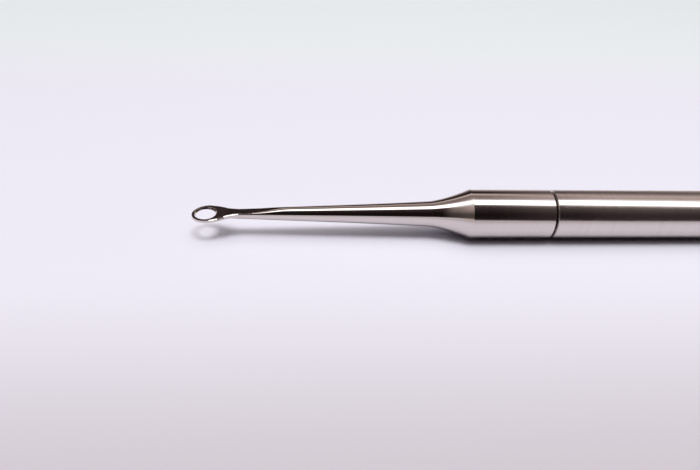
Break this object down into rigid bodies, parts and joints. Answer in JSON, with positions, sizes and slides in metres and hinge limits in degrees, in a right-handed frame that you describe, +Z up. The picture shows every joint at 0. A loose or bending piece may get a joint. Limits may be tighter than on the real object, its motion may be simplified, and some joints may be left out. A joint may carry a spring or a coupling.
{
  "type": "nail prep tool",
  "caption": "Slim steel hand tool: a flat ring curette on a tapered shank, with a flared collar that screws into a plain round handle.",
  "frame": {"origin": "under the middle of the tool's length, on the surface that it lies on", "axes": "+X along the tool from the ring to the end cap, +Y across it, +Z up"},
  "size_m": [0.1418, 0.008, 0.008],
  "materials": {
    "polished_steel": "polished on the shank and flare, fine turned on the collar",
    "satin_steel": "satin, fine turned",
    "turned_steel": "turned",
    "seal_rubber": "matt"
  },
  "bodies": {
    "handle": {"handle_tube": "satin_steel", "thread_bush": "turned_steel", "end_cap": "satin_steel"},
    "seal": {"seal_ring": "seal_rubber"},
    "head": {"curette_head": "polished_steel"}
  },
  "joints": [
    {"name": "head_travel", "type": "slide", "parent": "handle", "child": "seal", "axis": [-1, 0, 0], "range_m": [0, 0.0064]},
    {"name": "head_turn", "type": "hinge", "parent": "seal", "child": "head", "pos_m": [-0.01306, 0, 0.004], "axis": [-1, 0, 0], "range_deg": [0, 2880]}
  ],
  "couplings": [
    {"joint": "head_turn", "follows": "head_travel", "rad_per_m": 7854}
  ]
}
